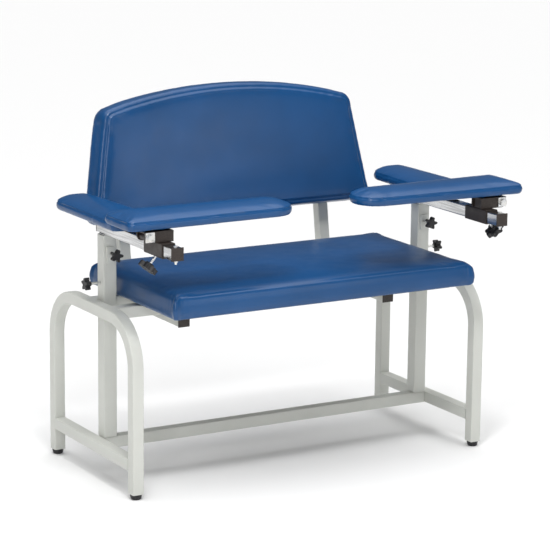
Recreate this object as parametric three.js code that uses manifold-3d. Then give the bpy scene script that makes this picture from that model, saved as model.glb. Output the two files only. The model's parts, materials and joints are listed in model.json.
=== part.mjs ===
// Wide blood-draw chair: a bench seat and a fixed back on a welded tube frame, with an adjustable
// armrest at each side. Each armrest is a mast that slides in a post and carries a rail, a fixed
// rear pad and a sliding carriage whose long front pad flips up. Units are millimetres, +Z up,
// +X to the sitter's left, +Y to the back of the chair.
import * as THREE from 'three';
import * as BufferGeometryUtils from 'three/addons/utils/BufferGeometryUtils.js';
import Module from 'manifold-3d';

const wasm = await Module();
wasm.setup();

// ---- driving dimensions ----
const GAP = 0.3; // left between touching pieces
const ARC_STEPS = 10; // facets in a quarter turn of an outline's corner
const BEND_STEP = 15; // length of a bent tube's facets
const TUBE_CORNER = 3.4; // reach of the rounding at a tube's outer corners
const LEG = 31.75; // square tube of the legs, rails and supports
const POST = 38.1; // square tube of the posts and the carriage collar
const WALL = 2;
const WELD = 0.5; // overlap where two shapes are joined into one piece

const FRAME_HALF = 536; // outer face of the leg arches
const LEG_OUT = 250; // outer faces of the legs, front and back
const ARCH_TOP = 472;
const ARCH_BEND = 118; // centreline radius
const FOOT_HEIGHT = 14;
const FOOT = { base: 13.6, rim: 15.4, edge: 2.5, shank: 14 }; // radii, rounding and depth in the leg
const LOW_RAIL_Z = 88.5; // centre height of the low rails
const POST_X = 484.8;
const NUT_PLATE = { half: 11, thick: 4, below: 24, above: 18 }; // round the height clamp's screw
const POST_TOP = 646;
const CROSSBAR_Y = 62;
const CROSSBAR_Z = 450.8;

const SUPPORT_X = 315; // back supports
const SUPPORT_FRONT = -105;
const SUPPORT_Z = 418.6;
const SUPPORT_BEND = 70;
const SUPPORT_TOP = 300; // straight length above the bend
const BACK_TILT = THREE.MathUtils.degToRad(8.5);

const SEAT = { half: 455, front: -320, back: 170, bottom: 476.3, top: 542, corner: 24 };
const SEAT_BOARD = { inset: 45, corner: 12, top: 476, bottom: 467 };

const BACK = {
  y: 168, z: 630, thick: 65, bottomHalf: 441, topHalf: 398, side: 266, crown: 361, corner: 44, round: 28,
  footDraft: 3, shoulderDraft: 5, // the sides' lean within the lower and upper roundings
};
const BACK_ARCH = 1430; // radius of its top edge
const BACK_BOARD = { inset: 26, thick: 9 };

const RAIL_Z = 665; // centre height of the armrest rail
const RAIL_FRONT = -390;
const RAIL_BACK = 28;
const MAST_LENGTH = 300;
const STOP = {
  setback: 7, shank: 3, hole: 3.3, hex: 5.6, headThick: 4, washer: 6.9, washerThick: 1.5, tail: 11,
};

const REAR_PAD = {
  inner: 411, outer: 559, front: -180, back: 200, bottom: 691, top: 729,
  taper: 22, draft: 4, // how far its inner and outer edges draw in towards the rear
  frontRadius: 18, rearRadius: 44,
};
const REAR_BOARD = { inset: 34, bottom: 681.3, top: 690.7 };

const FRONT_PAD = {
  outer: 595, inner: 96, front: -347, back: -187, bottom: 722, top: 758,
  taper: 12, outerRadius: 30, innerRadius: 50, // it narrows to a rounder inner end
};
const FRONT_BOARD = { inset: 44, bottom: 713.7, top: 721.7 };

const COLLAR = { front: -344, back: -247, inside: 32.4 };
const HINGE = { x: 528, z: 698.6, bore: 5.4, bolt: 5, front: -324, back: -286 };
const LUG = { inner: 467, waist: 503, shoulder: 509, radius: 10 }; // its base stands on the collar
const TAB = { half: 12.5, thick: 2.5, bottom: 687, top: 712.5 }; // plate washer under the hinge bolt's head
const BOLT_HEAD = { radius: 10.4, thick: 8 };
const NUT = { washer: 12, washerThick: 2, radius: 8.5, thick: 7 };
const EAR = { thick: 4, inner: 462, outer: 541.6, bottom: 685, top: 709 };
const WEB_TOP = 713.3;

const KNOB = { radius: 13, lobe: 4.2, thick: 14, lobes: 5 };
const CLAMP_KNOB = { radius: 23.5, lobe: 3, thick: 13, lobes: 7 };
const CLAMP_REACH = 52; // from the rail's middle to the carriage clamp's head
const CLAMP_SETBACK = 10; // of that clamp behind the collar's middle
const STUD = 3.6; // radius of the clamp screws
const FRONT_KNOB_Z = 598;
const FRONT_KNOB_REACH = 33; // from a screw's tip at the mast to its knob's head
const SIDE_KNOB_Z = 519;
const SIDE_KNOB_REACH = 36;
const CLAMP_ANGLE = THREE.MathUtils.degToRad(50); // of the carriage clamp below the horizontal

// ---- materials ----
const finish = (color, roughness, metalness) =>
  new THREE.MeshStandardMaterial({ color, roughness, metalness });
const framePaint = finish(0xcfd0c9, 0.45, 0.1);
const chrome = finish(0xd8dadc, 0.18, 1);
const bronzePaint = finish(0x3a302c, 0.5, 0.2);
const blackPlastic = finish(0x16161a, 0.5, 0);
const zinc = finish(0xc4c6c8, 0.3, 1);
const blueVinyl = finish(0x24508a, 0.42, 0);
const dustCover = finish(0x1b1b1d, 0.9, 0); // black cloth stretched over a plywood board

// ---- shape helpers ----
const AXES = {
  x: [[0, 1, 0], [0, 0, 1], [1, 0, 0]], // outline in Y and Z, extruded along X
  y: [[0, 0, 1], [1, 0, 0], [0, 1, 0]], // outline in Z and X, extruded along Y
  z: [[1, 0, 0], [0, 1, 0], [0, 0, 1]], // outline in X and Y, extruded along Z
};

function extrude(shape, depth, axis, start, curveSegments = ARC_STEPS) {
  const geometry = new THREE.ExtrudeGeometry(shape, { depth, bevelEnabled: false, curveSegments });
  geometry.translate(0, 0, start);
  const [a, b, c] = AXES[axis].map((v) => new THREE.Vector3(...v));
  return geometry.applyMatrix4(new THREE.Matrix4().makeBasis(a, b, c));
}

function block(x0, x1, y0, y1, z0, z1) {
  const geometry = new THREE.BoxGeometry(Math.abs(x1 - x0), y1 - y0, z1 - z0);
  return geometry.translate((x0 + x1) / 2, (y0 + y1) / 2, (z0 + z1) / 2);
}

function rod(radius, from, to, sides = 16) {
  const a = new THREE.Vector3(...from);
  const b = new THREE.Vector3(...to);
  const geometry = new THREE.CylinderGeometry(radius, radius, a.distanceTo(b), sides);
  const turn = new THREE.Quaternion().setFromUnitVectors(
    new THREE.Vector3(0, 1, 0), b.clone().sub(a).normalize());
  geometry.applyQuaternion(turn);
  return geometry.translate(...a.add(b).multiplyScalar(0.5).toArray());
}

function solid(geometry) {
  const bare = geometry.clone();
  bare.deleteAttribute('normal');
  bare.deleteAttribute('uv');
  const merged = BufferGeometryUtils.mergeVertices(bare, 1e-4);
  return new wasm.Manifold(new wasm.Mesh({
    numProp: 3,
    vertProperties: new Float32Array(merged.attributes.position.array),
    triVerts: new Uint32Array(merged.index.array),
  }));
}

function toGeometry(body) {
  const mesh = body.getMesh();
  const geometry = new THREE.BufferGeometry();
  geometry.setAttribute('position', new THREE.BufferAttribute(mesh.vertProperties, 3));
  geometry.setIndex(new THREE.BufferAttribute(mesh.triVerts, 1));
  geometry.computeVertexNormals();
  return geometry;
}

function cut(geometry, ...tools) {
  return toGeometry(tools.reduce((body, tool) => body.subtract(solid(tool)), solid(geometry)));
}

function join(...pieces) {
  return toGeometry(pieces.map(solid).reduce((body, piece) => body.add(piece)));
}

// The section of a square tube: rounded outside, square inside.
function tubeSection(size, wall, p = 0, q = 0) {
  const [half, bore] = [size / 2, size / 2 - wall];
  const signs = [[-1, -1], [1, -1], [1, 1], [-1, 1]];
  const corners = (reach) => signs.map(([u, v]) => [p + u * reach, q + v * reach]);
  const shape = roundedOutline(corners(half).map(([u, v]) => [u, v, TUBE_CORNER]));
  shape.holes.push(new THREE.Path(corners(bore).map(([u, v]) => new THREE.Vector2(u, v))));
  return shape;
}

// A bend in a plane of constant X, about a centre in Y and Z.
class Bend extends THREE.Curve {
  constructor(x, centreY, centreZ, radius, from, sweep) {
    super();
    Object.assign(this, { x, centreY, centreZ, radius, from, sweep });
  }

  getPoint(t, target = new THREE.Vector3()) {
    const angle = this.from + this.sweep * t;
    return target.set(
      this.x, this.centreY + this.radius * Math.cos(angle), this.centreZ + this.radius * Math.sin(angle));
  }
}

// The centreline of a bent tube, from a start, a heading in Y and Z, and its runs and bends in order.
function route(x, y, z, heading, moves) {
  const path = new THREE.CurvePath();
  for (const { run = 0, bend = 0, radius = 0 } of moves) {
    const start = new THREE.Vector3(x, y, z);
    if (bend) {
      const side = Math.sign(bend);
      const from = heading - side * Math.PI / 2;
      const piece = new Bend(x, y - radius * Math.cos(from), z - radius * Math.sin(from), radius, from, bend);
      path.add(piece);
      [, y, z] = piece.getPoint(1).toArray();
      heading += bend;
    } else {
      y += run * Math.cos(heading);
      z += run * Math.sin(heading);
      path.add(new THREE.LineCurve3(start, new THREE.Vector3(x, y, z)));
    }
  }
  return path;
}

// A hollow square tube along a bent centreline, open at both ends.
function bentTube(path) {
  const steps = Math.ceil(path.getLength() / BEND_STEP);
  return new THREE.ExtrudeGeometry(
    tubeSection(LEG, WALL), { extrudePath: path, steps, bevelEnabled: false, curveSegments: 2 });
}

// A straight hollow square tube along an axis, centred on (p, q) of the two other axes in X, Y, Z order.
function tube(axis, size, wall, p, q, from, to) {
  const [u, v] = axis === 'y' ? [q, p] : [p, q];
  return extrude(tubeSection(size, wall, u, v), to - from, axis, from, 2);
}

// A push-in plug for a square tube's end: a head outside and a shank inside.
function plug(axis, size, wall, p, q, face, outward, lip = 0.9) {
  const head = 3;
  const at = (half, from, to) => {
    const [a, b] = [Math.min(from, to), Math.max(from, to)];
    const box = { x: [a, b, p - half, p + half, q - half, q + half],
      y: [p - half, p + half, a, b, q - half, q + half],
      z: [p - half, p + half, q - half, q + half, a, b] };
    return block(...box[axis]);
  };
  const start = face + outward * GAP;
  return join(
    at(size / 2 + lip, start, start + outward * head),
    at(size / 2 - wall - GAP, start + outward * head / 2, face - outward * 14));
}

function roundedOutline(points) {
  // points: [u, v, corner radius] in order round a convex outline
  const shape = new THREE.Shape();
  points.forEach(([u, v, r], i) => {
    const corner = new THREE.Vector2(u, v);
    const [before, after] = [points.at(i - 1), points[(i + 1) % points.length]]
      .map(([a, b]) => new THREE.Vector2(a, b).sub(corner).normalize());
    const half = Math.acos(THREE.MathUtils.clamp(before.dot(after), -1, 1)) / 2;
    const back = r / Math.tan(half);
    const a = corner.clone().addScaledVector(before, back);
    const b = corner.clone().addScaledVector(after, back);
    if (i === 0) shape.moveTo(a.x, a.y);
    else shape.lineTo(a.x, a.y);
    shape.quadraticCurveTo(corner.x, corner.y, b.x, b.y);
  });
  shape.closePath();
  return shape;
}

// ---- scene graph ----
const chair = new THREE.Group();

function add(name, geometry, material, parent = chair) {
  const mesh = new THREE.Mesh(geometry, material);
  mesh.name = name;
  parent.add(mesh);
  return mesh;
}

// ---- fixed frame ----
function buildArch(side, label) {
  const legY = LEG_OUT - LEG / 2;
  const bendZ = ARCH_TOP - LEG / 2 - ARCH_BEND;
  const x = side * (FRAME_HALF - LEG / 2);
  const centreline = route(x, -legY, FOOT_HEIGHT, Math.PI / 2, [
    { run: bendZ - FOOT_HEIGHT },
    { bend: -Math.PI / 2, radius: ARCH_BEND },
    { run: 2 * (legY - ARCH_BEND) },
    { bend: -Math.PI / 2, radius: ARCH_BEND },
    { run: bendZ - FOOT_HEIGHT },
  ]);
  add(`${label}_leg_arch`, bentTube(centreline), framePaint);
  const inner = legY - LEG / 2 - GAP;
  add(`${label}_side_rail`, tube('y', LEG, WALL, x, LOW_RAIL_Z, -inner, inner), framePaint);
  for (const [end, y] of [['front', -legY], ['rear', legY]]) buildFoot(`${label}_${end}_foot`, x, y);
}

function buildFoot(name, x, y) {
  const { base, rim, edge, shank } = FOOT;
  const shankRadius = LEG / 2 - WALL - 1;
  const top = FOOT_HEIGHT - GAP;
  const profile = [[0, 0], [base - edge, 0], [base, edge], [rim, top - edge], [rim, top],
    [shankRadius, top], [shankRadius, top + shank], [0, top + shank]];
  const glide = new THREE.LatheGeometry(profile.map(([r, z]) => new THREE.Vector2(r, z)), 20);
  glide.rotateX(Math.PI / 2);
  add(name, toGeometry(solid(glide)).translate(x, y, 0), blackPlastic);
}

function buildPost(side, label) {
  const x = side * POST_X;
  const bottom = LOW_RAIL_Z + LEG / 2 + GAP;
  const post = tube('z', POST, (POST - COLLAR.inside) / 2, x, 0, bottom, POST_TOP);
  // a nut plate is welded to the front face, where the height clamp's screw goes in
  const face = -POST / 2;
  const { half, thick, below, above } = NUT_PLATE;
  const plate = block(
    x - half, x + half, face - thick, face + WELD, FRONT_KNOB_Z - below, FRONT_KNOB_Z + above);
  const hole = STUD + GAP;
  const frontHole = rod(hole, [x, face - 10, FRONT_KNOB_Z], [x, face + 5, FRONT_KNOB_Z]);
  const sideHole = rod(hole, [x + side * POST, 0, SIDE_KNOB_Z], [x + side * (POST / 2 - 5), 0, SIDE_KNOB_Z]);
  add(`${label}_post`, cut(join(post, plate), frontHole, sideHole), framePaint);
}

function buildStretchers() {
  const inside = FRAME_HALF - LEG - GAP;
  add('foot_stretcher', tube('x', LEG, WALL, 0, LOW_RAIL_Z, -inside, inside), framePaint);
  for (const [name, y] of [['front_crossbar', -CROSSBAR_Y], ['rear_crossbar', CROSSBAR_Y]]) {
    add(name, tube('x', LEG, WALL, y, CROSSBAR_Z, -inside, inside), framePaint);
  }
}

// ---- seat and back ----
function buildSeat() {
  const outline = (inset, corner) => {
    const x = SEAT.half - inset;
    const [front, back] = [SEAT.front + inset, SEAT.back - inset];
    return roundedOutline([[-x, front, corner], [x, front, corner], [x, back, corner], [-x, back, corner]]);
  };
  const { inset: boardInset, corner: boardCorner, bottom, top } = SEAT_BOARD;
  add('seat_board', extrude(outline(boardInset, boardCorner), top - bottom, 'z', bottom, 3), dustCover);
  add('seat_cushion',
    extrude(outline(0, SEAT.corner), SEAT.top - SEAT.bottom, 'z', SEAT.bottom, 5), blueVinyl);
}

function backOutline(inset) {
  const { side, crown, corner, round, footDraft, shoulderDraft } = BACK;
  const low = BACK.bottomHalf - inset;
  const high = BACK.topHalf - inset;
  const arch = (u) => crown - inset - (BACK_ARCH - Math.sqrt(BACK_ARCH ** 2 - u ** 2));
  const start = high - corner;
  const shape = new THREE.Shape();
  shape.moveTo(-low + round, inset);
  shape.lineTo(low - round, inset);
  shape.quadraticCurveTo(low, inset, low - footDraft, inset + round);
  shape.lineTo(high, side - inset);
  shape.quadraticCurveTo(high - shoulderDraft, arch(high), start, arch(start));
  const steps = 16;
  for (let i = 1; i <= steps; i++) {
    const u = start - (2 * start * i) / steps;
    shape.lineTo(u, arch(u));
  }
  shape.quadraticCurveTo(-high + shoulderDraft, arch(high), -high, side - inset);
  shape.lineTo(-low + footDraft, inset + round);
  shape.quadraticCurveTo(-low, inset, -low + round, inset);
  return shape;
}

function buildBack() {
  // the outline stands upright in X and Z, then leans back about its lower front edge
  const upright = (shape, thick, from) => {
    const settings = { depth: thick, bevelEnabled: false, curveSegments: 6 };
    const geometry = new THREE.ExtrudeGeometry(shape, settings);
    return geometry.translate(0, 0, -from - thick).rotateX(Math.PI / 2);
  };
  const lean = new THREE.Group();
  lean.position.set(0, BACK.y, BACK.z);
  lean.rotation.x = -BACK_TILT;
  chair.add(lean);
  add('back_cushion', upright(backOutline(0), BACK.thick, 0), blueVinyl, lean);
  const board = upright(backOutline(BACK_BOARD.inset), BACK_BOARD.thick, BACK.thick + GAP);
  add('back_board', board, dustCover, lean);
}

function buildBackSupport(side, label) {
  const x = side * SUPPORT_X;
  // the upright's front face lies just behind the back board
  const behind = BACK.thick + BACK_BOARD.thick + 3 * GAP + LEG / 2;
  const lineY = (z) => BACK.y + (z - BACK.z) * Math.tan(BACK_TILT) + behind / Math.cos(BACK_TILT);
  const turn = Math.PI / 2 - BACK_TILT;
  const setback = SUPPORT_BEND * Math.tan(turn / 2);
  const run = lineY(SUPPORT_Z) - setback - SUPPORT_FRONT;
  const centreline = route(x, SUPPORT_FRONT, SUPPORT_Z, 0, [
    { run }, { bend: turn, radius: SUPPORT_BEND }, { run: SUPPORT_TOP },
  ]);
  add(`${label}_back_support`, bentTube(centreline), framePaint);
  add(`${label}_support_plug`, plug('y', LEG, WALL, x, SUPPORT_Z, SUPPORT_FRONT, -1), blackPlastic);
}

// ---- armrests ----
// A hand knob: lobed head and a boss, on an axis from its clamp screw's tip outward.
function handKnob({ radius, lobe, thick, lobes }, bore) {
  const steps = lobes * 6;
  const points = [];
  for (let i = 0; i < steps; i++) {
    const angle = (2 * Math.PI * i) / steps;
    const r = radius + lobe * Math.sign(Math.cos(lobes * angle)) * Math.abs(Math.cos(lobes * angle)) ** 0.7;
    points.push(new THREE.Vector2(r * Math.cos(angle), r * Math.sin(angle)));
  }
  const head = new THREE.ExtrudeGeometry(new THREE.Shape(points), { depth: thick, bevelEnabled: false });
  const boss = rod(radius * 0.5, [0, 0, -5], [0, 0, thick / 2], 16);
  return cut(join(head, boss), rod(bore, [0, 0, -6], [0, 0, thick - 4], 12));
}

// Places a knob and its screw: tip is where the screw ends, reach is from tip to the knob's head.
function buildKnob(label, shape, tip, direction, reach) {
  const seat = new THREE.Group();
  seat.position.set(...tip);
  seat.quaternion.setFromUnitVectors(new THREE.Vector3(0, 0, 1), new THREE.Vector3(...direction).normalize());
  chair.add(seat);
  const screw = rod(STUD, [0, 0, 0], [0, 0, reach + shape.thick - 4 - 2 * GAP], 12);
  add(`${label}_screw`, screw, zinc, seat);
  add(label, handKnob(shape, STUD + GAP).translate(0, 0, reach), blackPlastic, seat);
}

function buildRearPad(side, label) {
  const { inner, outer, front, back, taper, draft, frontRadius, rearRadius } = REAR_PAD;
  const outline = (inset) => roundedOutline([
    [side * (inner + inset), front + inset, frontRadius],
    [side * (outer - inset), front + inset, frontRadius],
    [side * (outer - draft - inset), back - inset, rearRadius - inset],
    [side * (inner + taper + inset), back - inset, rearRadius - inset],
  ]);
  const layer = ({ inset = 0, bottom, top }, curveSegments) =>
    extrude(outline(inset), top - bottom, 'z', bottom, curveSegments);
  add(`${label}_rear_arm_board`, layer(REAR_BOARD, 4), dustCover);
  add(`${label}_rear_arm_pad`, layer(REAR_PAD, 6), blueVinyl);
}

function buildRail(side, label) {
  const x = side * POST_X;
  const railBottom = RAIL_Z - LEG / 2;
  const screwY = RAIL_FRONT + STOP.setback;
  const rail = tube('y', LEG, WALL, x, RAIL_Z, RAIL_FRONT, RAIL_BACK);
  add(`${label}_arm_rail`,
    cut(rail, rod(STOP.hole, [x, screwY, railBottom - 5], [x, screwY, RAIL_Z + LEG])), chrome);
  add(`${label}_arm_mast`,
    tube('z', LEG, WALL, x, 0, railBottom - GAP - MAST_LENGTH, railBottom - GAP), chrome);
  add(`${label}_rail_front_plug`, plugWithSlot(x, screwY), blackPlastic);
  add(`${label}_rail_rear_plug`, plug('y', LEG, WALL, x, RAIL_Z, RAIL_BACK, 1, 0), blackPlastic);
  const top = RAIL_Z + LEG / 2 + GAP;
  const under = railBottom - GAP;
  const bar = (radius, from, to, sides) => rod(radius, [x, screwY, from], [x, screwY, to], sides);
  const stop = join(
    bar(STOP.shank, railBottom - STOP.tail, top + WELD, 12),
    bar(STOP.hex, top, top + STOP.headThick, 6),
    bar(STOP.washer, under - STOP.washerThick, under, 20),
    bar(STOP.hex, under - STOP.washerThick - STOP.headThick, under - STOP.washerThick + WELD / 2, 6));
  add(`${label}_stop_screw`, stop, zinc);
}

function plugWithSlot(x, screwY) {
  const face = plug('y', LEG, WALL, x, RAIL_Z, RAIL_FRONT, -1);
  return cut(face, rod(3.6, [x, screwY, RAIL_Z - LEG], [x, screwY, RAIL_Z + LEG], 12));
}

function buildCarriage(side, label) {
  const x = side * POST_X;
  const wall = (POST - COLLAR.inside) / 2;
  const collar = tube('y', POST, wall, x, RAIL_Z, COLLAR.front, COLLAR.back);
  const [dx, dz] = [side * Math.cos(CLAMP_ANGLE), -Math.sin(CLAMP_ANGLE)];
  const clampY = (COLLAR.front + COLLAR.back) / 2 - CLAMP_SETBACK;
  const along = (d) => [x + d * dx, clampY, RAIL_Z + d * dz];
  add(`${label}_collar`, cut(collar, rod(STUD + GAP, along(10), along(60), 12)), bronzePaint);

  const { x: hx, z: hz, front, back } = HINGE;
  const base = RAIL_Z + POST / 2 + GAP;
  const lug = new THREE.Shape();
  lug.moveTo(base, side * LUG.inner);
  lug.lineTo(base, side * LUG.waist);
  lug.lineTo(hz - LUG.radius, side * LUG.shoulder);
  lug.lineTo(hz - LUG.radius, side * hx);
  for (let i = 1; i <= 8; i++) {
    const angle = -Math.PI / 2 + (Math.PI * i) / 8;
    lug.lineTo(hz + LUG.radius * Math.sin(angle), side * (hx + LUG.radius * Math.cos(angle)));
  }
  lug.lineTo(hz + LUG.radius, side * LUG.inner);
  const bore = rod(HINGE.bore, [side * hx, front - 5, hz], [side * hx, back + 5, hz], 20);
  add(`${label}_hinge_lug`, cut(extrude(lug, back - front, 'y', front), bore), bronzePaint);
  const tipDistance = (LEG / 2) * (Math.cos(CLAMP_ANGLE) + Math.sin(CLAMP_ANGLE)) + GAP; // at the rail's edge
  buildKnob(`${label}_slide_knob`, CLAMP_KNOB, along(tipDistance), [dx, 0, dz], CLAMP_REACH - tipDistance);
}

function buildFlipPad(side, label) {
  const { x: hx, z: hz, front, back, bolt, bore } = HINGE;
  const x = side * hx;
  const web = block(side * EAR.inner, side * EAR.outer, front - GAP - EAR.thick, back + GAP + EAR.thick,
    EAR.top, WEB_TOP);
  const ear = (y) => {
    const shape = new THREE.Shape();
    shape.moveTo(EAR.top + 1, side * EAR.inner);
    shape.lineTo(EAR.bottom, side * EAR.inner);
    shape.lineTo(EAR.bottom, x);
    const radius = hz - EAR.bottom;
    for (let i = 1; i <= 5; i++) {
      const angle = (Math.PI / 2) * (i / 5);
      shape.lineTo(hz - radius * Math.cos(angle), side * (hx + radius * Math.sin(angle)));
    }
    shape.lineTo(EAR.top + 1, side * EAR.outer);
    return extrude(shape, EAR.thick, 'y', y);
  };
  const hole = rod(bore, [x, front - 20, hz], [x, back + 20, hz], 20);
  add(`${label}_flip_bracket`,
    cut(join(web, ear(front - GAP - EAR.thick), ear(back + GAP)), hole), bronzePaint);

  const face = front - 2 * GAP - EAR.thick;
  const rear = back + 2 * GAP + EAR.thick;
  const headStart = face - TAB.thick;
  const nutEnd = rear + NUT.washerThick + NUT.thick;
  const bar = (radius, from, to, sides) => rod(radius, [x, from, hz], [x, to, hz], sides);
  add(`${label}_hinge_bolt`, join(
    bar(bolt, headStart - WELD, nutEnd + 3, 16),
    block(x - TAB.half, x + TAB.half, headStart, face, TAB.bottom, TAB.top),
    bar(BOLT_HEAD.radius, headStart - BOLT_HEAD.thick, headStart + WELD / 2, 6),
    bar(NUT.washer, rear, rear + NUT.washerThick, 24),
    bar(NUT.radius, rear + NUT.washerThick - WELD / 2, nutEnd, 6)), zinc);

  const { outer, inner, front: padFront, back: padBack, taper, outerRadius, innerRadius } = FRONT_PAD;
  const outline = (inset) => roundedOutline([
    [side * (outer - inset), padFront + inset, outerRadius - inset / 2],
    [side * (outer - inset), padBack - inset, outerRadius - inset / 2],
    [side * (inner + inset), padBack - taper - inset, innerRadius - inset],
    [side * (inner + inset), padFront + taper + inset, innerRadius - inset],
  ]);
  const layer = ({ inset = 0, bottom, top }, curveSegments) =>
    extrude(outline(inset), top - bottom, 'z', bottom, curveSegments);
  add(`${label}_flip_board`, layer(FRONT_BOARD, 4), dustCover);
  add(`${label}_flip_pad`, layer(FRONT_PAD, 6), blueVinyl);
}

function buildPostKnobs(side, label) {
  const x = side * POST_X;
  const reachIn = LEG / 2 + GAP; // the screw's tip stops at the mast
  buildKnob(`${label}_height_knob`, KNOB, [x, -reachIn, FRONT_KNOB_Z], [0, -1, 0], FRONT_KNOB_REACH);
  buildKnob(
    `${label}_side_knob`, KNOB, [x + side * reachIn, 0, SIDE_KNOB_Z], [side, 0, 0], SIDE_KNOB_REACH);
}

buildStretchers();
buildSeat();
buildBack();
for (const [side, label] of [[-1, 'right'], [1, 'left']]) {
  buildArch(side, label);
  buildPost(side, label);
  buildBackSupport(side, label);
  buildRail(side, label);
  buildRearPad(side, label);
  buildCarriage(side, label);
  buildFlipPad(side, label);
  buildPostKnobs(side, label);
}

// the origin is on the floor, at the middle of the whole chair's footprint
const box = new THREE.Box3().setFromObject(chair, true);
chair.position.y = -(box.min.y + box.max.y) / 2;
chair.updateMatrixWorld(true);

export default chair;
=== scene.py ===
"""Looks for the wide blood-draw chair: vinyl cushions, painted and plated tubes, knobs, floor and light.

Metres, +Z up, +Y to the back of the chair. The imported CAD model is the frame; the six soft pads are
built here, filled by cloth simulation and then given their seams.
"""

import json
import math

import bmesh
import bpy
import numpy as np
from mathutils import Matrix, Vector


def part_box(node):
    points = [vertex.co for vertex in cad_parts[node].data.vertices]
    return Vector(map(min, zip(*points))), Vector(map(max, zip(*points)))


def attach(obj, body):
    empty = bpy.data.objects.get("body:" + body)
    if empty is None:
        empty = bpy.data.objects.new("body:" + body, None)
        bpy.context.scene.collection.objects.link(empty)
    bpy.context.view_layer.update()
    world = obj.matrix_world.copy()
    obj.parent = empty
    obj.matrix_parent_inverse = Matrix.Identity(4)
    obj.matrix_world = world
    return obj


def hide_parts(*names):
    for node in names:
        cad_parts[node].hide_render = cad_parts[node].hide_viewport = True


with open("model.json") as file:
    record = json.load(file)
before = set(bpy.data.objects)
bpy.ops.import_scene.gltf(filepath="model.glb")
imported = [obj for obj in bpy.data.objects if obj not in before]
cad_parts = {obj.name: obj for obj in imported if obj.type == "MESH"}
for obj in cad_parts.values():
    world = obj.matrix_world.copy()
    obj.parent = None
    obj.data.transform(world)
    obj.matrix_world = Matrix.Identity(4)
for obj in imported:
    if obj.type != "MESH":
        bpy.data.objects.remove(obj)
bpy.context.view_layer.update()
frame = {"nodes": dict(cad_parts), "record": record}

# ---- driving dimensions ----
MM = 0.001
VOXEL = 5 * MM  # of the pad blanks' meshes
SIM_FRAMES = 20
TUBE = 31.75 * MM
RIDGE = 20 * MM  # height of the arm pads' side band
BACK_LEAN = math.radians(8.5)
BACK_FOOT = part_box("back_cushion")[0].z  # height of the back cushion's lowest edge
BACK_DEPTH = 65 * MM  # of the whole back cushion, face to rear


# ---- materials ----
class Shader:
    """A principled material and short calls for wiring its procedural inputs."""

    def __init__(self, name, color, roughness, metallic=0.0, **sockets):
        self.material = bpy.data.materials.new(name)
        self.material.use_nodes = True
        self.material.diffuse_color = (*color, 1)
        self.tree = self.material.node_tree
        self.bsdf = self.tree.nodes["Principled BSDF"]
        self.bsdf.inputs["Base Color"].default_value = (*color, 1)
        self.bsdf.inputs["Roughness"].default_value = roughness
        self.bsdf.inputs["Metallic"].default_value = metallic
        for socket, value in sockets.items():
            self.bsdf.inputs[socket.replace("_", " ")].default_value = value
        self.place = self.tree.nodes.new("ShaderNodeTexCoord").outputs["Object"]

    def stretched(self, x, y, z):
        mapping = self.tree.nodes.new("ShaderNodeMapping")
        mapping.inputs["Scale"].default_value = (x, y, z)
        self.tree.links.new(self.place, mapping.inputs["Vector"])
        return mapping.outputs["Vector"]

    def noise(self, scale, detail=3.0, vector=None, distortion=0.0):
        node = self.tree.nodes.new("ShaderNodeTexNoise")
        node.inputs["Scale"].default_value = scale
        node.inputs["Detail"].default_value = detail
        node.inputs["Distortion"].default_value = distortion
        self.tree.links.new(vector or self.place, node.inputs["Vector"])
        return node.outputs["Fac"]

    def cells(self, scale):
        node = self.tree.nodes.new("ShaderNodeTexVoronoi")
        node.feature = "DISTANCE_TO_EDGE"
        node.inputs["Scale"].default_value = scale
        self.tree.links.new(self.place, node.inputs["Vector"])
        return node.outputs["Distance"]

    def spread(self, value, low, high, start=0.3, end=0.7):
        node = self.tree.nodes.new("ShaderNodeMapRange")
        node.inputs["From Min"].default_value = start
        node.inputs["From Max"].default_value = end
        node.inputs["To Min"].default_value = low
        node.inputs["To Max"].default_value = high
        self.tree.links.new(value, node.inputs["Value"])
        return node.outputs["Result"]

    def blend_colors(self, factor, stops):
        node = self.tree.nodes.new("ShaderNodeValToRGB")
        ramp = node.color_ramp
        while len(ramp.elements) < len(stops):
            ramp.elements.new(0.5)
        for element, (position, color) in zip(ramp.elements, stops):
            element.position = position
            element.color = (*color, 1)
        self.tree.links.new(factor, node.inputs["Fac"])
        return node.outputs["Color"]

    def drive(self, socket, output):
        self.tree.links.new(output, self.bsdf.inputs[socket])

    def bump(self, height, strength, distance):
        node = self.tree.nodes.new("ShaderNodeBump")
        node.inputs["Strength"].default_value = strength
        node.inputs["Distance"].default_value = distance
        self.tree.links.new(height, node.inputs["Height"])
        previous = self.bsdf.inputs["Normal"].links
        if previous:
            self.tree.links.new(previous[0].from_socket, node.inputs["Normal"])
        self.tree.links.new(node.outputs["Normal"], self.bsdf.inputs["Normal"])


def shade(color, gain):
    return tuple(min(1.0, c * gain) for c in color)


def vinyl_material():
    blue = (0.0042, 0.058, 0.180)
    s = Shader("blue_vinyl", blue, 0.31, Specular_IOR_Level=0.36, Coat_Weight=0.15, Coat_Roughness=0.2)
    mottle = s.noise(7.0, 4.0)
    s.drive("Base Color", s.blend_colors(mottle, [(0.3, shade(blue, 0.9)), (0.7, shade(blue, 1.1))]))
    s.drive("Roughness", s.spread(s.noise(26.0, 3.0), 0.29, 0.36))
    s.bump(s.noise(55.0, 2.0), 0.07, 0.0005)
    s.bump(s.cells(520.0), 0.08, 0.0002)
    return s.material


def paint_material():
    grey = (0.6, 0.61, 0.57)
    s = Shader("frame_powder_coat", grey, 0.4, Specular_IOR_Level=0.5)
    s.drive("Base Color", s.blend_colors(s.noise(5.0), [(0.3, shade(grey, 0.97)), (0.7, shade(grey, 1.03))]))
    s.drive("Roughness", s.spread(s.noise(40.0), 0.36, 0.48))
    s.bump(s.noise(620.0, 2.0), 0.12, 0.0003)
    return s.material


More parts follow.
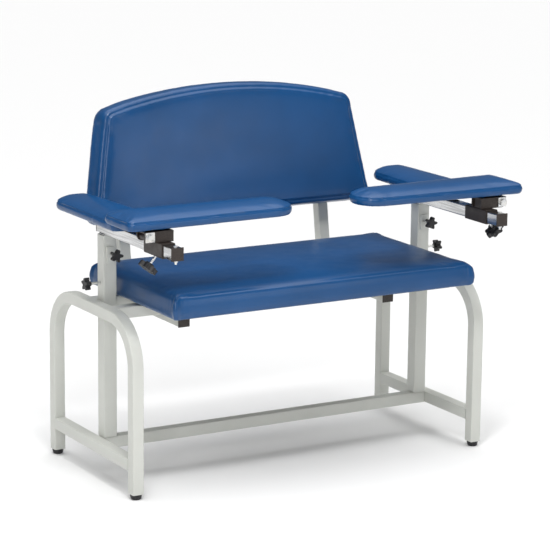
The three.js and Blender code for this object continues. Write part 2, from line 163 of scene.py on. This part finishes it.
def chrome_material():
    bright = (0.58, 0.585, 0.59)
    s = Shader("chrome_tube", bright, 0.16, 1.0)
    # Noise stretched along the tube's length. In roughness and bump it is the tube's drawing lines. In the
    # base colour it is painted reflection: darker and lighter bands standing in for what the chrome mirrors.
    draw_lines_and_painted_reflections = s.noise(1.0, 2.0, s.stretched(260, 9, 260))
    painted_reflection_streaks = [(0.35, shade(bright, 0.72)), (0.65, shade(bright, 1.25))]
    s.drive("Base Color", s.blend_colors(draw_lines_and_painted_reflections, painted_reflection_streaks))
    s.drive("Roughness", s.spread(draw_lines_and_painted_reflections, 0.12, 0.24))
    s.bump(draw_lines_and_painted_reflections, 0.05, 0.0001)
    return s.material


def bronze_material():
    brown = (0.026, 0.0195, 0.0165)
    s = Shader("bronze_powder_coat", brown, 0.42, 0.25, Specular_IOR_Level=0.5)
    speckle = s.noise(520.0, 3.0)
    s.drive("Base Color", s.blend_colors(speckle, [(0.35, shade(brown, 0.7)), (0.68, shade(brown, 1.9))]))
    s.drive("Roughness", s.spread(s.noise(60.0), 0.34, 0.5))
    s.bump(speckle, 0.18, 0.0003)
    return s.material


def plastic_material():
    black = (0.011, 0.011, 0.013)
    s = Shader("black_plastic", black, 0.42, Specular_IOR_Level=0.45)
    s.drive("Base Color", s.blend_colors(s.noise(30.0), [(0.3, shade(black, 0.8)), (0.7, shade(black, 1.4))]))
    s.drive("Roughness", s.spread(s.noise(90.0), 0.34, 0.5))
    s.bump(s.noise(1400.0, 2.0), 0.14, 0.0002)
    return s.material


def zinc_material():
    s = Shader("zinc_plate", (0.70, 0.71, 0.72), 0.3, 1.0)
    bloom = s.noise(70.0, 3.0)
    s.drive("Base Color", s.blend_colors(bloom, [(0.3, (0.62, 0.64, 0.67)), (0.7, (0.78, 0.77, 0.73))]))
    s.drive("Roughness", s.spread(s.noise(160.0), 0.22, 0.4))
    s.bump(s.noise(900.0, 2.0), 0.08, 0.0001)
    return s.material


def dust_cover_material():
    """Thin black non-woven cloth, with its faint crossed fibres."""
    black = (0.017, 0.017, 0.019)
    s = Shader("black_dust_cover", black, 0.88, Specular_IOR_Level=0.25)
    fibres = s.noise(1.0, 4.0, s.stretched(900, 160, 900), 0.8)
    s.drive("Base Color", s.blend_colors(fibres, [(0.35, shade(black, 0.7)), (0.65, shade(black, 1.7))]))
    s.drive("Roughness", s.spread(fibres, 0.8, 0.95))
    s.bump(s.noise(1.0, 3.0, s.stretched(160, 900, 900)), 0.3, 0.0003)
    return s.material


MATERIALS = {
    "frame_paint": paint_material(),
    "chrome_tube": chrome_material(),
    "bronze_paint": bronze_material(),
    "black_plastic": plastic_material(),
    "zinc": zinc_material(),
    "vinyl": vinyl_material(),
    "dust_cover": dust_cover_material(),
}
BEVELS = {  # mm
    "frame_paint": 0.95,
    "chrome_tube": 0.9,
    "bronze_paint": 0.9,
    "black_plastic": 1.0,
    "zinc": 0.5,
    "dust_cover": 0.8,
}


def dress_cad_nodes():
    """Give every CAD node its material, softened edges and smooth bends."""
    for part in frame["record"]["subparts"]:
        node = frame["nodes"][part["node"]]
        slot = part["material_slot"]
        node.data.materials.clear()
        node.data.materials.append(MATERIALS[slot])
        if slot == "vinyl":
            continue
        for face in node.data.polygons:
            face.use_smooth = True
        weld = node.modifiers.new("weld", "WELD")
        weld.merge_threshold = 0.01 * MM
        bevel = node.modifiers.new("soft_edges", "BEVEL")
        bevel.width = BEVELS[slot] * MM
        bevel.segments = 2
        bevel.limit_method = "ANGLE"
        bevel.angle_limit = math.radians(28)
        bevel.harden_normals = False
        normals = node.modifiers.new("flat_faces", "WEIGHTED_NORMAL")
        normals.keep_sharp = True


# ---- pad outlines: (u, v, corner radius) in order round a convex shape ----
def inset_outline(corners, inset, corner_steps=12):
    """The outline moved in by inset, as dense points. Corners keep their places round the ring."""
    count = len(corners)
    points = np.array([c[:2] for c in corners], float)
    edge = np.roll(points, -1, axis=0) - points
    edge /= np.linalg.norm(edge, axis=1)[:, None]
    turn = np.sign(np.cross(edge[0], edge[1]) if abs(np.cross(edge[0], edge[1])) > 1e-6 else 1.0)
    inward = np.stack([-edge[:, 1], edge[:, 0]], axis=1) * turn
    moved = []
    for i in range(count):
        a, b = inward[i - 1], inward[i]
        middle = a + b
        moved.append(points[i] + inset * middle / max(1 + float(a @ b), 0.2))
    ring = []
    for i, (_, _, radius) in enumerate(corners):
        here = moved[i]
        if radius <= 0:
            ring.append(here)
            continue
        back = moved[i - 1] - here
        ahead = moved[(i + 1) % count] - here
        back_length, ahead_length = np.linalg.norm(back), np.linalg.norm(ahead)
        back, ahead = back / back_length, ahead / ahead_length
        half = math.acos(max(-1.0, min(1.0, float(back @ ahead)))) / 2
        fillet = max(radius - 0.7 * inset, 0.25 * radius)
        reach = min(fillet / math.tan(half), 0.48 * back_length, 0.48 * ahead_length)
        fillet = reach * math.tan(half)
        middle = (back + ahead) / np.linalg.norm(back + ahead)
        centre = here + middle * fillet / math.sin(half)
        start = here + back * reach - centre
        end = here + ahead * reach - centre
        a0 = math.atan2(start[1], start[0])
        sweep = (math.atan2(end[1], end[0]) - a0 + math.pi) % (2 * math.pi) - math.pi
        for k in range(corner_steps + 1):
            angle = a0 + sweep * k / corner_steps
            ring.append(centre + fillet * np.array([math.cos(angle), math.sin(angle)]))
    return np.array(ring)


def edge_profile(thick, top_radius, foot_radius, belly, steps=7):
    """(inset, height) from the underside's rim, round the side, to the top face's rim."""
    profile = []
    for k in range(steps + 1):
        angle = math.pi / 2 * k / steps
        profile.append((foot_radius * (1 - math.sin(angle)), foot_radius * (1 - math.cos(angle))))
    side = thick - top_radius - foot_radius
    for k in range(1, 5):
        t = k / 5
        profile.append((-belly * math.sin(math.pi * t), foot_radius + side * t))
    for k in range(steps + 1):
        angle = math.pi / 2 * k / steps
        profile.append((top_radius * (1 - math.cos(angle)), thick - top_radius * (1 - math.sin(angle))))
    return profile


def slab(name, corners, profile):
    """A closed pad blank lying flat: its underside at height 0 and its face on top."""
    mesh = bmesh.new()
    rings = []
    for inset, height in profile:
        rings.append([mesh.verts.new((u, v, height)) for u, v in inset_outline(corners, inset)])
    for low, high in zip(rings, rings[1:]):
        for i in range(len(low)):
            j = (i + 1) % len(low)
            mesh.faces.new((low[i], low[j], high[j], high[i]))
    mesh.faces.new(rings[0][::-1])
    mesh.faces.new(rings[-1])
    bmesh.ops.recalc_face_normals(mesh, faces=mesh.faces)
    data = bpy.data.meshes.new(name)
    mesh.to_mesh(data)
    mesh.free()
    piece = bpy.data.objects.new(name, data)
    bpy.context.scene.collection.objects.link(piece)
    return piece


def points_of(mesh):
    flat = np.empty(len(mesh.vertices) * 3, np.float32)
    mesh.vertices.foreach_get("co", flat)
    return flat.reshape(-1, 3).astype(float)


def set_points(mesh, points):
    mesh.vertices.foreach_set("co", points.astype(np.float32).ravel())
    mesh.update()


def normals_of(mesh):
    flat = np.empty(len(mesh.vertices) * 3, np.float32)
    mesh.vertices.foreach_get("normal", flat)
    return flat.reshape(-1, 3).astype(float)


def apply_modifiers(piece):
    graph = bpy.context.evaluated_depsgraph_get()
    baked = bpy.data.meshes.new_from_object(piece.evaluated_get(graph))
    old = piece.data
    piece.modifiers.clear()
    piece.data = baked
    bpy.data.meshes.remove(old)


def remesh(piece, voxel):
    modifier = piece.modifiers.new("remesh", "REMESH")
    modifier.mode = "VOXEL"
    modifier.voxel_size = voxel
    apply_modifiers(piece)
    soften = piece.modifiers.new("soften", "SMOOTH")
    soften.factor = 0.5
    soften.iterations = 1
    apply_modifiers(piece)


def fill_with_foam(piece, cap, held_height):
    """Swell the cover by cloth pressure. The underside is stapled down, and no point moves over cap."""
    start = points_of(piece.data)
    pins = piece.vertex_groups.new(name="stapled")
    pins.add([int(i) for i in np.nonzero(start[:, 2] < held_height)[0]], 1.0, "REPLACE")
    cloth = piece.modifiers.new("cover", "CLOTH")
    settings = cloth.settings
    settings.quality = 5
    settings.mass = 0.4
    settings.tension_stiffness = 12
    settings.compression_stiffness = 12
    settings.bending_stiffness = 2
    settings.use_pressure = True
    settings.uniform_pressure_force = 4
    settings.effector_weights.gravity = 0
    settings.vertex_group_mass = pins.name
    cloth.point_cache.frame_start = 1
    cloth.point_cache.frame_end = SIM_FRAMES
    scene = bpy.context.scene
    for number in range(1, SIM_FRAMES + 1):
        scene.frame_set(number)
    apply_modifiers(piece)
    scene.frame_set(1)
    moved = points_of(piece.data) - start
    length = np.linalg.norm(moved, axis=1)
    limit = cap * np.tanh(length / cap) / np.maximum(length, 1e-9)
    set_points(piece.data, start + moved * limit[:, None])
    piece.vertex_groups.clear()


def refine(piece):
    soften = piece.modifiers.new("soften", "SMOOTH")
    soften.factor = 0.5
    soften.iterations = 2
    finer = piece.modifiers.new("finer", "SUBSURF")
    finer.levels = 1
    apply_modifiers(piece)


def rim_distance(points, corners):
    """Distance of each flat (u, v) point from the outline."""
    ring = inset_outline(corners, 0.0)
    best = np.full(len(points), 1e9)
    for a, b in zip(ring, np.roll(ring, -1, axis=0)):
        edge = b - a
        t = np.clip(((points - a) @ edge) / max(edge @ edge, 1e-12), 0, 1)
        best = np.minimum(best, np.hypot(*(points - a - t[:, None] * edge).T))
    return best


def raise_top(piece, corners, start, lift, reach, power):
    """Crown the face above height start: up to lift, reached at a distance of reach from the outline."""
    points = points_of(piece.data)
    t = np.clip(rim_distance(points[:, :2], corners) / reach, 0, 1)
    share = np.clip((points[:, 2] - start) / (3 * MM), 0, 1)
    points[:, 2] += lift * (1 - (1 - t) ** power) * share
    set_points(piece.data, points)


def bell(distance, width):
    return np.exp(-(distance / width) ** 2)


def press(piece, depth):
    """Push the surface in along its own normal by depth, one value for each point."""
    points = points_of(piece.data)
    set_points(piece.data, points - normals_of(piece.data) * depth[:, None])


def square_corners(piece, corners, reach, power):
    """Draw a box cushion's rounded corners out towards the square, as its corner seams hold them."""
    points = points_of(piece.data)
    centre = np.mean([c[:2] for c in corners], axis=0)
    for u, v, _ in corners:
        outward = np.sign(np.array([u, v]) - centre)
        middle = np.array([u, v]) - outward * reach
        local = (points[:, :2] - middle) * outward / reach
        inside = (local[:, 0] > 0) & (local[:, 1] > 0)
        near = local[inside]
        round_size = np.hypot(near[:, 0], near[:, 1])
        square_size = (near[:, 0] ** power + near[:, 1] ** power) ** (1 / power)
        drawn = near * (round_size / np.maximum(square_size, 1e-9))[:, None]
        points[inside, :2] = middle + drawn * outward * reach
    set_points(piece.data, points)


def sew_corners(piece, corners, top, reach, depth):
    """Seams that run down the pad's corners, and the pinch where each meets the top."""
    seam_width = 2.6 * MM
    pinch_inset, pinch_size, pinch_gain = 8 * MM, 13 * MM, 1.9
    ripple_pitch, ripple_size, ripple_gain = 5.5 * MM, 30 * MM, 0.35
    points = points_of(piece.data)
    centre = np.mean([c[:2] for c in corners], axis=0)
    total = np.zeros(len(points))
    for u, v, _ in corners:
        corner = np.array([u, v])
        inward = np.sign(centre - corner) / math.sqrt(2)
        offset = points[:, :2] - corner
        across = offset[:, 0] * inward[1] - offset[:, 1] * inward[0]
        along = np.maximum(offset @ inward, 0)
        fade = np.exp(-(along / reach) ** 2)
        total += depth * bell(across, seam_width) * fade
        pinch = np.sqrt(across ** 2 + (along - pinch_inset) ** 2 + (points[:, 2] - top) ** 2)
        total += pinch_gain * depth * bell(pinch, pinch_size)
        ripple = np.cos(across / ripple_pitch * math.pi) * bell(pinch, ripple_size)
        total += ripple_gain * depth * ripple
    press(piece, total)


def lower_rim(piece, corners, reach, depth):
    """Draw the cover's lower edge down round the board that it is stapled to."""
    points = points_of(piece.data)
    low = np.clip(1 - points[:, 2] / (9 * MM), 0, 1)
    points[:, 2] -= depth * low * bell(rim_distance(points[:, :2], corners), reach)
    set_points(piece.data, points)


def sew_rim(piece, corners, face, inset, depth, width):
    """A sewn line that follows the outline on the pad's face."""
    points = points_of(piece.data)
    distance = rim_distance(points[:, :2], corners)
    on_face = np.clip((points[:, 2] - face) / (4 * MM), 0, 1)
    line = bell(distance - inset, width) - 0.45 * bell(distance - inset - 2.2 * width, width)
    press(piece, depth * line * on_face)


def sew_band(piece, height, depth, width):
    """The welt round the pad's side, where the face panel joins the side band."""
    points = points_of(piece.data)
    upright = 1 - np.abs(normals_of(piece.data)[:, 2])
    gap = points[:, 2] - height
    welt = bell(gap + 1.7 * width, width) - 0.9 * bell(gap, width)
    press(piece, depth * welt * np.clip(upright * 1.6, 0, 1))


def loosen(piece, amount, seed):
    """Slow unevenness of a hand-pulled cover."""
    wave_count = 9
    slowest, fastest = 9, 34  # radians in a metre
    points = points_of(piece.data)
    random = np.random.default_rng(seed)
    total = np.zeros(len(points))
    for _ in range(wave_count):
        wave = random.normal(size=3) * random.uniform(slowest, fastest)
        total += np.sin(points @ wave + random.uniform(0, 2 * math.pi))
    press(piece, total * amount / wave_count)


def finish_pad(piece, place, body, nodes):
    for face in piece.data.polygons:
        face.use_smooth = True
    piece.data.transform(place)
    piece.data.update()
    piece.data.materials.clear()
    piece.data.materials.append(MATERIALS["vinyl"])
    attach(piece, body)
    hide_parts(*nodes)


def make_pad(name, corners, profile, cap, crown):
    """A filled pad. crown holds raise_top's start height, lift, reach and power."""
    stapled_height = 1.5 * MM
    blank = slab(name, corners, profile)
    remesh(blank, VOXEL)
    raise_top(blank, corners, *crown)
    fill_with_foam(blank, cap, stapled_height)
    refine(blank)
    return blank


# ---- the six pads ----
def build_seat():
    lo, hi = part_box("seat_cushion")
    slack = 4 * MM
    half = hi.x - slack
    front, back = lo.y + slack, hi.y - slack
    corner = 6 * MM
    corners = [(-half, front, corner), (half, front, corner), (half, back, corner), (-half, back, corner)]
    thick = hi.z - lo.z - 6 * MM  # the crown and the filling raise it to the cushion's full height
    profile = edge_profile(thick, top_radius=12 * MM, foot_radius=4 * MM, belly=3 * MM)
    crown = (thick - 6 * MM, 5 * MM, 100 * MM, 2)
    seat = make_pad("seat_pad", corners, profile, 3 * MM, crown)
    top = points_of(seat.data)[:, 2].max()
    square_corners(seat, corners, reach=20 * MM, power=6)
    sew_corners(seat, corners, top - 11 * MM, reach=30 * MM, depth=1.1 * MM)
    loosen(seat, 0.5 * MM, 3)
    finish_pad(seat, Matrix.Translation((0, 0, lo.z)), "frame", ["seat_cushion"])


BACK = {
    "foot_half": 440 * MM, "foot": 2 * MM, "foot_radius": 24 * MM,
    "shoulder": 386 * MM, "shoulder_radius": 40 * MM,
    "crown": 361.5 * MM, "arch_radius": 1430 * MM,
}


def arch_height(u):
    """Height of the back's arched top edge at a distance of u from the middle."""
    radius = BACK["arch_radius"]
    return BACK["crown"] - (radius - math.sqrt(radius ** 2 - u ** 2))


def back_corners():
    """Straight sides that lean in from the foot to the shoulders, under one long arc."""
    half, foot, foot_radius = BACK["foot_half"], BACK["foot"], BACK["foot_radius"]
    shoulder, shoulder_radius = BACK["shoulder"], BACK["shoulder_radius"]
    stand_off = 2 * MM  # of the shoulder's corner from the arc's end
    shoulder_height = arch_height(shoulder) - stand_off
    span = shoulder - 60 * MM  # the arc's half length, clear of the shoulders' rounding
    steps = 22
    corners = [(-half, foot, foot_radius), (half, foot, foot_radius)]
    corners.append((shoulder + stand_off, shoulder_height, shoulder_radius))
    for k in range(steps + 1):
        u = span - 2 * span * k / steps
        corners.append((u, arch_height(u), 0))
    corners.append((-shoulder - stand_off, shoulder_height, shoulder_radius))
    return corners


def build_back():
    corners = back_corners()
    thick = 60 * MM
    profile = edge_profile(thick, top_radius=12 * MM, foot_radius=5 * MM, belly=2 * MM)
    crown = (thick - 6 * MM, 3 * MM, 120 * MM, 2)
    back = make_pad("back_pad", corners, profile, 4 * MM, crown)
    top = points_of(back.data)[:, 2].max()
    sew_rim(back, corners, top - 14 * MM, inset=17 * MM, depth=1.7 * MM, width=3.4 * MM)
    loosen(back, 0.4 * MM, 5)
    # built lying face up, then stood on its lower edge and leaned back
    lo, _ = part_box("back_cushion")
    stand = Matrix.Rotation(math.radians(90), 4, "X")
    lean = Matrix.Rotation(-BACK_LEAN, 4, "X")
    foot = Matrix.Translation((0, lo.y, BACK_FOOT + BACK_DEPTH * math.sin(BACK_LEAN)))
    place = foot @ lean @ Matrix.Translation((0, BACK_DEPTH, 0)) @ stand
    finish_pad(back, place, "frame", ["back_cushion"])


def build_arm_cover(name, node, body, corners, dome_reach, seed):
    """A domed pad over an upright side band, with a welt where the two meet."""
    lo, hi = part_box(node)
    thick = hi.z - lo.z - 1 * MM
    profile = edge_profile(RIDGE, top_radius=3 * MM, foot_radius=5 * MM, belly=0)
    crown = (RIDGE - 3 * MM, thick - RIDGE, dome_reach, 2)
    pad = make_pad(name, corners, profile, 2 * MM, crown)
    lower_rim(pad, corners, reach=20 * MM, depth=3.5 * MM)
    sew_band(pad, RIDGE, depth=1.4 * MM, width=1.7 * MM)
    loosen(pad, 0.3 * MM, seed)
    finish_pad(pad, Matrix.Translation((0, 0, lo.z)), body, [node])


def build_rear_arm_pad(label, side):
    node = f"{label}_rear_arm_pad"
    lo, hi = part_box(node)
    slack = 2.5 * MM
    inner, outer = sorted((abs(lo.x), abs(hi.x)))
    inner, outer = inner + slack, outer - slack
    front, back = lo.y + 1 * MM, hi.y - slack
    inner_taper, outer_taper = 22 * MM, 4 * MM
    front_radius, rear_radius = 14 * MM, 46 * MM
    corners = [
        (side * inner, front, front_radius),
        (side * outer, front, front_radius),
        (side * (outer - outer_taper), back, rear_radius),
        (side * (inner + inner_taper), back, rear_radius),
    ]
    build_arm_cover(f"{label}_rear_pad_cover", node, f"{label}_mast", corners, 62 * MM, 11)


def build_flip_pad(label, side):
    node = f"{label}_flip_pad"
    lo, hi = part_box(node)
    slack = 2 * MM
    inner, outer = sorted((abs(lo.x), abs(hi.x)))
    inner, outer = inner + slack, outer - slack
    front, back = lo.y + slack, hi.y - slack
    taper = 12 * MM
    front_radius, rear_radius, end_radius = 17 * MM, 24 * MM, 63 * MM
    corners = [
        (side * outer, front, front_radius),
        (side * outer, back, rear_radius),
        (side * inner, back - taper, end_radius),
        (side * inner, front + taper, end_radius),
    ]
    build_arm_cover(f"{label}_flip_pad_cover", node, f"{label}_flip_arm", corners, 68 * MM, 17)


# ---- small hardware at the back supports ----
def lathe(name, profile, sides=28):
    """A closed turned piece about its own +Z, from (radius, height) pairs that start and end on the axis."""
    mesh = bmesh.new()
    rings = []
    for radius, height in profile:
        if radius == 0:
            rings.append([mesh.verts.new((0, 0, height))])
            continue
        angles = [2 * math.pi * k / sides for k in range(sides)]
        rings.append([mesh.verts.new((radius * math.cos(a), radius * math.sin(a), height)) for a in angles])
    for low, high in zip(rings, rings[1:]):
        for k in range(sides):
            n = (k + 1) % sides
            loop = [low[k % len(low)], low[n % len(low)], high[n % len(high)], high[k % len(high)]]
            mesh.faces.new(list(dict.fromkeys(loop)))
    bmesh.ops.recalc_face_normals(mesh, faces=mesh.faces)
    data = bpy.data.meshes.new(name)
    mesh.to_mesh(data)
    mesh.free()
    piece = bpy.data.objects.new(name, data)
    bpy.context.scene.collection.objects.link(piece)
    return piece


def fix_to_frame(piece, place, slot):
    for face in piece.data.polygons:
        face.use_smooth = True
    piece.data.transform(place)
    piece.data.update()
    piece.data.materials.append(MATERIALS[slot])
    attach(piece, "frame")


SCREW_HEAD = [  # (radius, height), with the recess for the driver
    (0, 0), (6.2 * MM, 0), (6.2 * MM, 0.8 * MM), (5.4 * MM, 2.6 * MM), (3.4 * MM, 3.7 * MM),
    (2.4 * MM, 3.8 * MM), (2.2 * MM, 2.2 * MM), (0, 2.2 * MM),
]
SCREW_DEPTHS = (45 * MM, 215 * MM)  # below the upright's top


def build_support_hardware(label):
    """The screws that hold the back board to its upright, and the cap in the upright's open top."""
    lo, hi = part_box(f"{label}_back_support")
    along = Vector((0, math.sin(BACK_LEAN), math.cos(BACK_LEAN)))
    rearward = Vector((0, math.cos(BACK_LEAN), -math.sin(BACK_LEAN)))
    half = TUBE / 2
    top = Vector(((lo.x + hi.x) / 2, hi.y, hi.z)) - rearward * half
    top.z = hi.z - half * math.sin(BACK_LEAN)

    cap_corner, cap_lift = 3 * MM, 0.3 * MM
    square = [(u * half, v * half, cap_corner) for u, v in ((-1, -1), (1, -1), (1, 1), (-1, 1))]
    cap_profile = edge_profile(4 * MM, top_radius=1.6 * MM, foot_radius=0.3 * MM, belly=0, steps=4)
    cap = slab(f"{label}_support_cap", square, cap_profile)
    facing_up = Matrix.Rotation(-BACK_LEAN, 4, "X")
    fix_to_frame(cap, Matrix.Translation(top + along * cap_lift) @ facing_up, "black_plastic")

    facing_back = Matrix.Rotation(-BACK_LEAN - math.pi / 2, 4, "X")
    clear_of_tube = half + 0.2 * MM
    for number, depth in enumerate(SCREW_DEPTHS, 1):
        screw = lathe(f"{label}_back_screw_{number}", SCREW_HEAD)
        spot = top - along * depth + rearward * clear_of_tube
        fix_to_frame(screw, Matrix.Translation(spot) @ facing_back, "zinc")


# ---- stage ----
def add_floor():
    bpy.ops.mesh.primitive_plane_add(size=60)
    floor = bpy.context.object
    floor.name = "floor"
    s = Shader("floor", (0.86, 0.86, 0.86), 0.9, Specular_IOR_Level=0.1)
    floor.data.materials.append(s.material)


def add_area_light(name, location, target, size, power):
    data = bpy.data.lights.new(name, "AREA")
    data.shape = "RECTANGLE"
    data.size, data.size_y = size
    data.energy = power
    light = bpy.data.objects.new(name, data)
    light.location = location
    light.rotation_euler = (Vector(target) - Vector(location)).to_track_quat("-Z", "Y").to_euler()
    bpy.context.scene.collection.objects.link(light)


def add_lights():
    world = bpy.data.worlds.new("studio")
    bpy.context.scene.world = world
    world.use_nodes = True
    background = world.node_tree.nodes["Background"]
    background.inputs["Color"].default_value = (1, 1, 1, 1)
    nodes, links = world.node_tree.nodes, world.node_tree.links
    split = nodes.new("ShaderNodeSeparateXYZ")
    links.new(nodes.new("ShaderNodeTexCoord").outputs["Generated"], split.inputs["Vector"])
    dome = nodes.new("ShaderNodeMapRange")  # dim at the horizon, bright overhead
    dome.interpolation_type = "SMOOTHSTEP"
    dome.inputs["From Min"].default_value = 0.62
    dome.inputs["From Max"].default_value = 0.95
    dome.inputs["To Min"].default_value = 0.15
    dome.inputs["To Max"].default_value = 2.8
    links.new(split.outputs["Z"], dome.inputs["Value"])
    links.new(dome.outputs["Result"], background.inputs["Strength"])
    middle = (0, 0, 0.5)
    add_area_light("key", (-2.1, -2.3, 1.7), middle, (0.7, 1.1), 23)
    add_area_light("top_right", (-0.75, -1.2, 2.5), middle, (0.55, 0.25), 20)
    add_area_light("top_left", (0.75, -1.0, 2.5), middle, (0.7, 0.3), 3)
    add_area_light("card", (1.4, -3.2, 1.15), middle, (1.1, 0.9), 8)


VIEW = {"lens": 160.8, "place": (-3.2379, -5.5616, 1.9086), "yaw": 30.146, "pitch": 12.365, "roll": 0.614}


def add_camera():
    """The main view: a long lens on the chair's right, turned towards it and a little down."""
    data = bpy.data.cameras.new("view")
    data.sensor_width = 36
    data.lens = VIEW["lens"]
    camera = bpy.data.objects.new("view", data)
    yaw, pitch, roll = (math.radians(VIEW[name]) for name in ("yaw", "pitch", "roll"))
    ahead = Vector((math.sin(yaw) * math.cos(pitch), math.cos(yaw) * math.cos(pitch), -math.sin(pitch)))
    right = Vector((math.cos(yaw), -math.sin(yaw), 0))
    up = right.cross(ahead)
    rolled_right = right * math.cos(roll) + up * math.sin(roll)
    rolled_up = up * math.cos(roll) - right * math.sin(roll)
    basis = Matrix((rolled_right, rolled_up, -ahead)).transposed().to_4x4()
    camera.matrix_world = Matrix.Translation(VIEW["place"]) @ basis
    bpy.context.scene.collection.objects.link(camera)
    bpy.context.scene.camera = camera


bpy.context.scene.view_settings.view_transform = "Standard"
add_camera()
add_floor()
add_lights()
dress_cad_nodes()
build_seat()
build_back()
for label, side in (("right", -1), ("left", 1)):
    build_rear_arm_pad(label, side)
    build_flip_pad(label, side)
    build_support_hardware(label)

bpy.context.view_layer.update()
